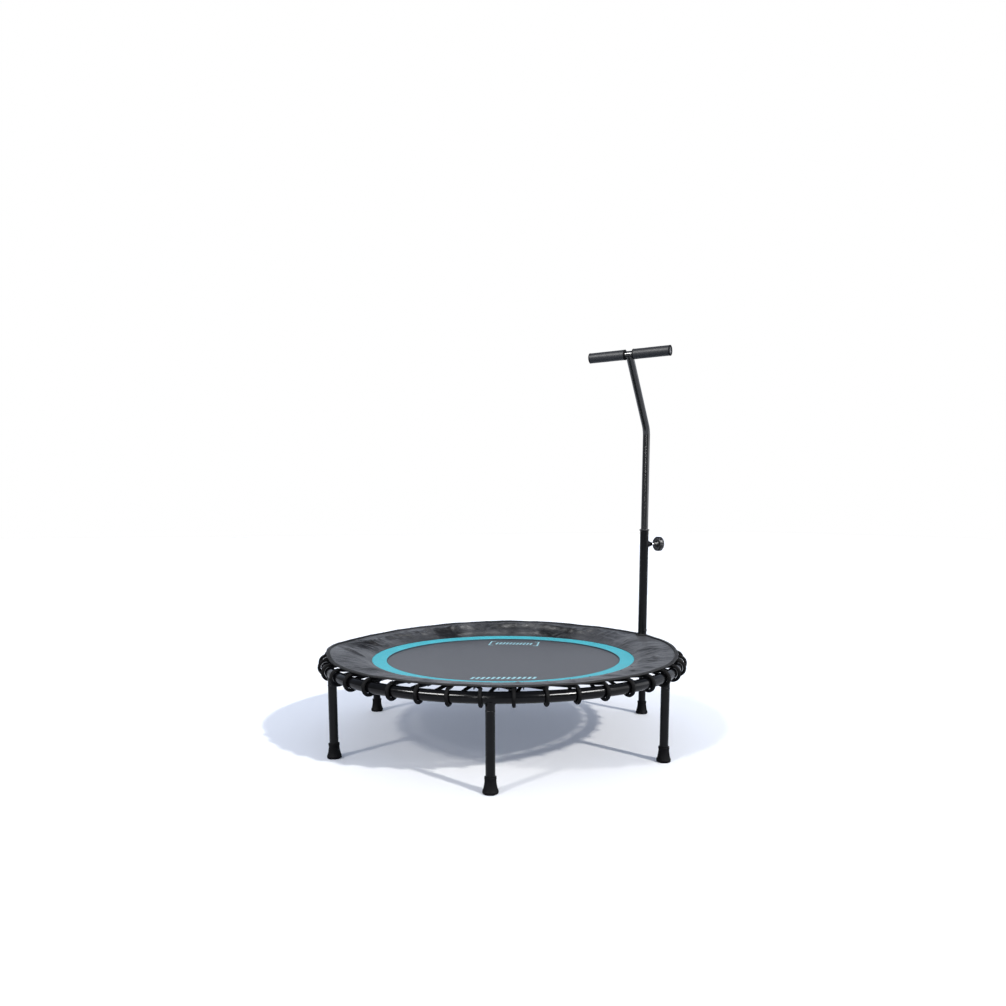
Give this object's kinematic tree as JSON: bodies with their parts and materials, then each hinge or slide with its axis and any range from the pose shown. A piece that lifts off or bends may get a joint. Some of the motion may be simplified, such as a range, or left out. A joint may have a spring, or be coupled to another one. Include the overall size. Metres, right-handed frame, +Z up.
{
  "type": "mini trampoline",
  "caption": "Round fitness mini trampoline with bungee-laced jumping mat, fabric skirt, screw-in legs and a height-adjustable T-bar handle.",
  "frame": {"origin": "on the floor, at the centre of the circle of feet", "axes": "+Z up, +Y towards the leg that carries the handle post, +X to the right of the handle seen from the mat"},
  "size_m": [1.16, 1.2008, 1.2356],
  "materials": {
    "frame_paint": "gloss",
    "zinc_steel": "satin",
    "foot_rubber": "matte",
    "mat_mesh": "woven",
    "band_fabric": "woven",
    "webbing": "woven",
    "bungee": "braided",
    "skirt_fabric": "woven",
    "binding_tape": "woven",
    "black_plastic": "satin",
    "grip_foam": "foam",
    "grey_plastic": "satin"
  },
  "bodies": {
    "frame": {"frame_ring": "frame_paint", "leg_sockets": "frame_paint", "leg_studs": "zinc_steel", "leg_1": "frame_paint", "leg_2": "frame_paint", "leg_3": "frame_paint", "leg_4": "frame_paint", "leg_5": "frame_paint", "leg_6": "frame_paint", "foot_1": "foot_rubber", "foot_2": "foot_rubber", "foot_3": "foot_rubber", "foot_4": "foot_rubber", "foot_5": "foot_rubber", "foot_6": "foot_rubber", "bungee_cord": "bungee", "skirt_cover": "skirt_fabric", "skirt_binding": "binding_tape", "post_spigot": "frame_paint", "lower_post": "frame_paint", "post_bolt": "zinc_steel", "post_nut": "zinc_steel", "post_bushing": "black_plastic", "clamp_boss": "frame_paint"},
    "mat": {"jump_mat": "mat_mesh", "mat_colour_band": "band_fabric", "mat_edge_webbing": "webbing", "mat_tabs": "webbing"},
    "clamp_screw": {"clamp_screw": "zinc_steel"},
    "clamp_knob": {"clamp_knob": "black_plastic"},
    "handle_glide": {"stem_glide": "black_plastic"},
    "handle": {"handle_stem": "frame_paint", "crossbar": "frame_paint", "grip_left": "grip_foam", "grip_right": "grip_foam", "bar_plug_left": "grey_plastic", "bar_plug_right": "grey_plastic"}
  },
  "joints": [
    {"name": "mat_bounce", "type": "slide", "parent": "frame", "child": "mat", "axis": [0, 0, 1], "range_m": [-0.13, 0], "stiffness_N_per_m": 8000, "springref_m": 0.01, "deforming": ["skirt_cover", "bungee_cord"]},
    {"name": "handle_height", "type": "slide", "parent": "frame", "child": "handle_glide", "axis": [0, 0, 1], "range_m": [-0.13, 0.07]},
    {"name": "handle_swivel", "type": "hinge", "parent": "handle_glide", "child": "handle", "pos_m": [0, 0.549, 0.5], "axis": [0, 0, 1], "continuous": true},
    {"name": "clamp_screw_travel", "type": "slide", "parent": "frame", "child": "clamp_screw", "axis": [0, 1, 0], "range_m": [0, 0.0025]},
    {"name": "clamp_knob_turn", "type": "hinge", "parent": "clamp_screw", "child": "clamp_knob", "pos_m": [0, 0.549, 0.608], "axis": [0, 1, 0], "range_deg": [0, 720]}
  ],
  "couplings": [
    {"joint": "clamp_knob_turn", "follows": "clamp_screw_travel", "rad_per_m": 5026.5}
  ]
}
